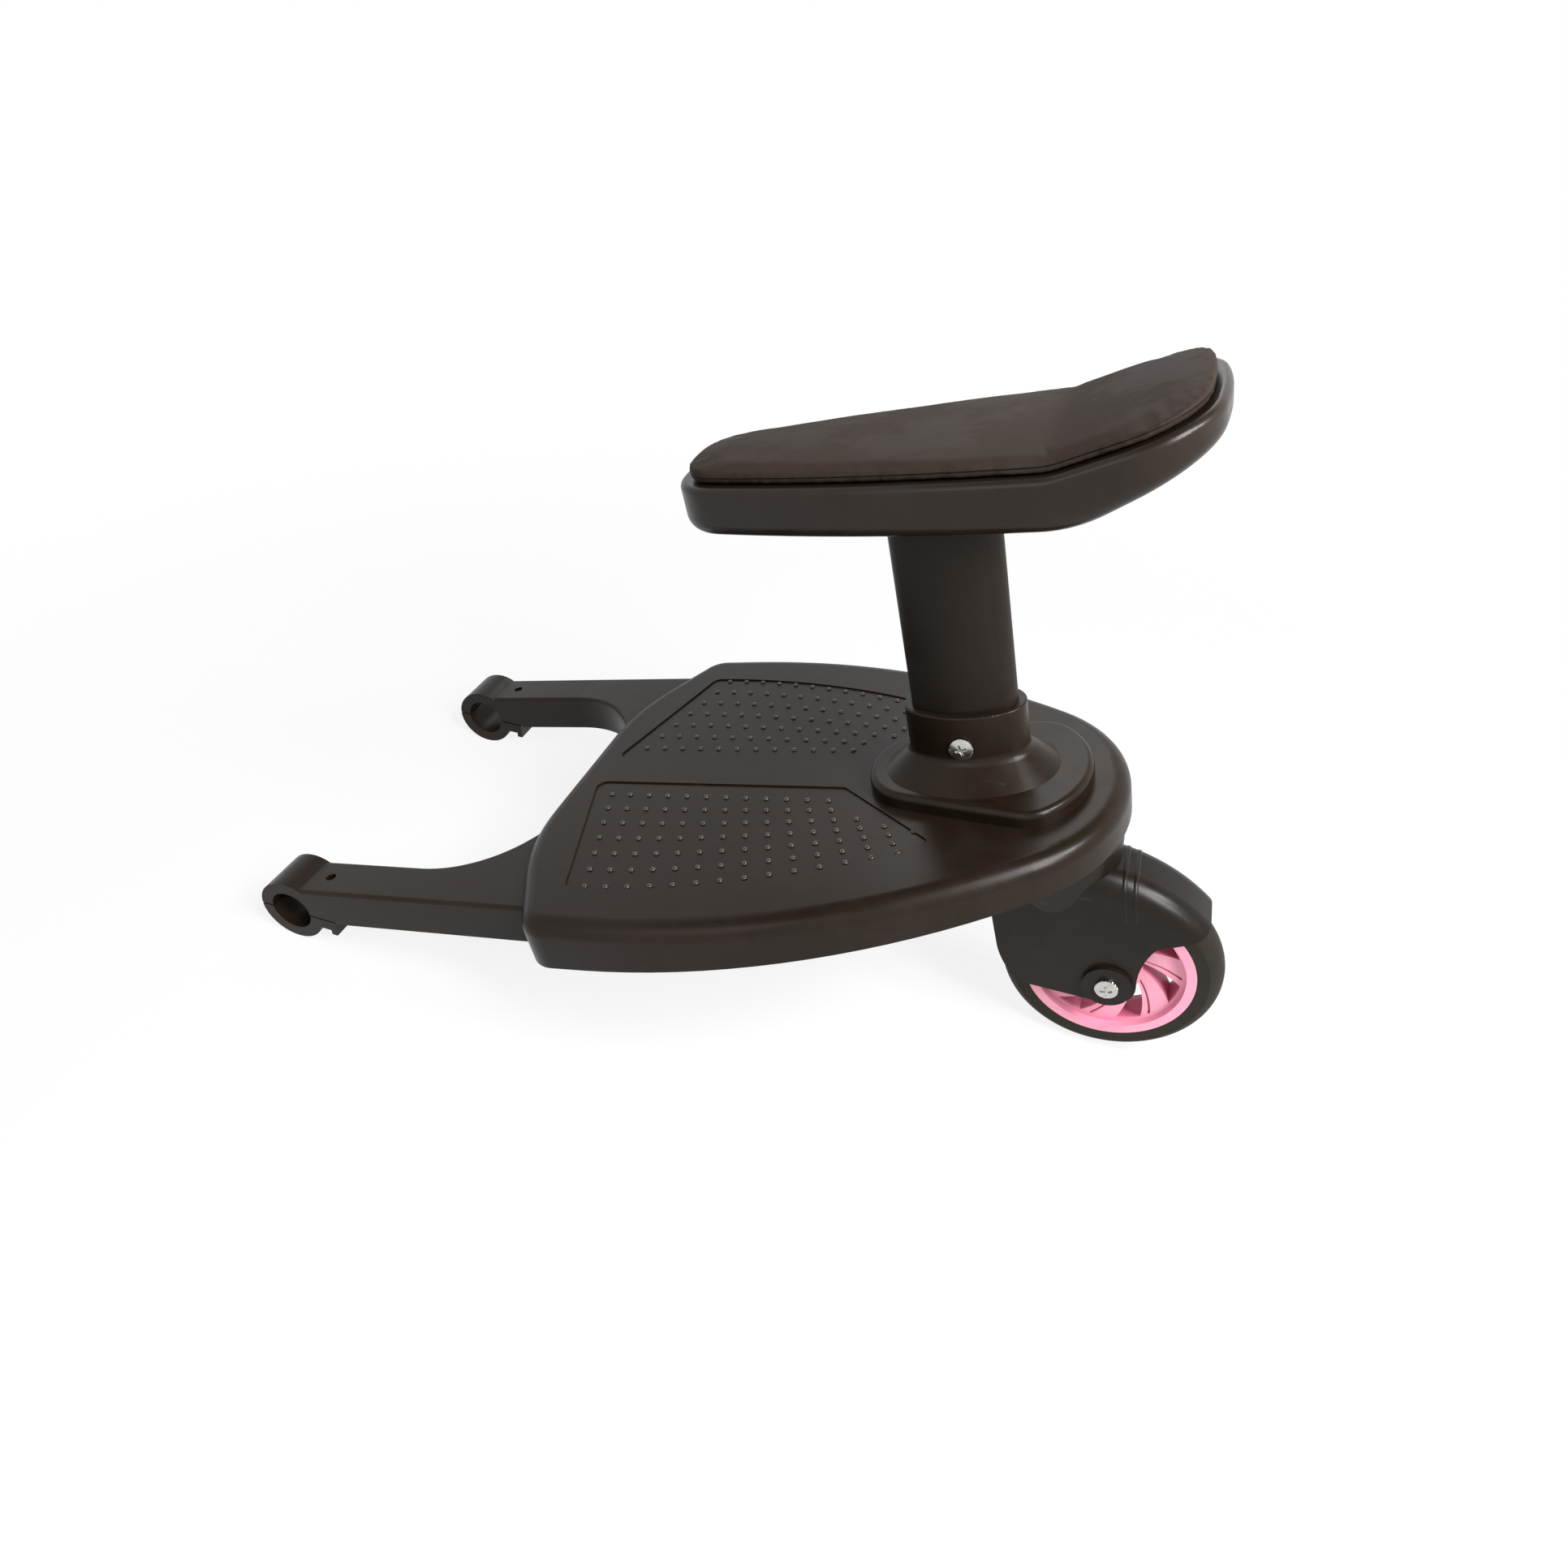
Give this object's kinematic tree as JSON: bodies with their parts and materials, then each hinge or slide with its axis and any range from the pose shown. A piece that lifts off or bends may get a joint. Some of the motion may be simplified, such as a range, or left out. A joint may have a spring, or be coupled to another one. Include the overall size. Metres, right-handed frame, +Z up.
{
  "type": "buggy board",
  "caption": "Ride-on buggy board: tapered standing deck with a seat on an oval post, clamp-ended arms that grip a pram's axle tube, and a swivelling caster with a swirl-spoked wheel.",
  "frame": {"origin": "middle of the box round the whole board, on the floor that the tyre and both clamps stand on", "axes": "+X forward to the clamps, +Y to the board's left along the tube that the clamps hold, +Z up"},
  "size_m": [0.5918, 0.308, 0.4243],
  "materials": {
    "board_plastic": "satin moulded",
    "post_plastic": "satin",
    "pan_plastic": "satin moulded",
    "pad_cover": "soft coated cover",
    "fork_plastic": "satin moulded",
    "hub_plastic": "pink moulded",
    "tyre_rubber": "smooth",
    "bush_nylon": "natural",
    "zinc_steel": "zinc plated",
    "bearing_steel": "ground"
  },
  "bodies": {
    "board": {"deck": "board_plastic", "clamp_cap_left": "board_plastic", "clamp_cap_right": "board_plastic", "clamp_screws": "zinc_steel", "clamp_nuts": "zinc_steel", "seat_pedestal": "board_plastic", "pedestal_screws": "zinc_steel", "seat_post": "post_plastic", "post_bolt": "zinc_steel", "post_washer": "zinc_steel", "post_nut": "zinc_steel", "seat_pan": "pan_plastic", "seat_screws": "zinc_steel", "seat_pad": "pad_cover", "swivel_bush_upper": "bush_nylon", "swivel_bush_lower": "bush_nylon"},
    "caster": {"caster_fork": "fork_plastic", "swivel_stem": "zinc_steel", "swivel_washer": "zinc_steel", "swivel_nut": "zinc_steel", "axle_bolt": "zinc_steel", "axle_nut": "zinc_steel", "axle_spacers": "zinc_steel", "axle_sleeve": "zinc_steel", "bearing_inner_rings": "bearing_steel"},
    "wheel": {"wheel_hub": "hub_plastic", "wheel_tyre": "tyre_rubber", "bearing_outer_rings": "bearing_steel"}
  },
  "joints": [
    {"name": "caster_swivel", "type": "hinge", "parent": "board", "child": "caster", "pos_m": [-0.1601, 0, 0.18131], "axis": [0.3098, 0, 0.9508], "continuous": true},
    {"name": "wheel_spin", "type": "hinge", "parent": "caster", "child": "wheel", "pos_m": [-0.2289, 0, 0.067], "axis": [0, 1, 0], "continuous": true}
  ]
}
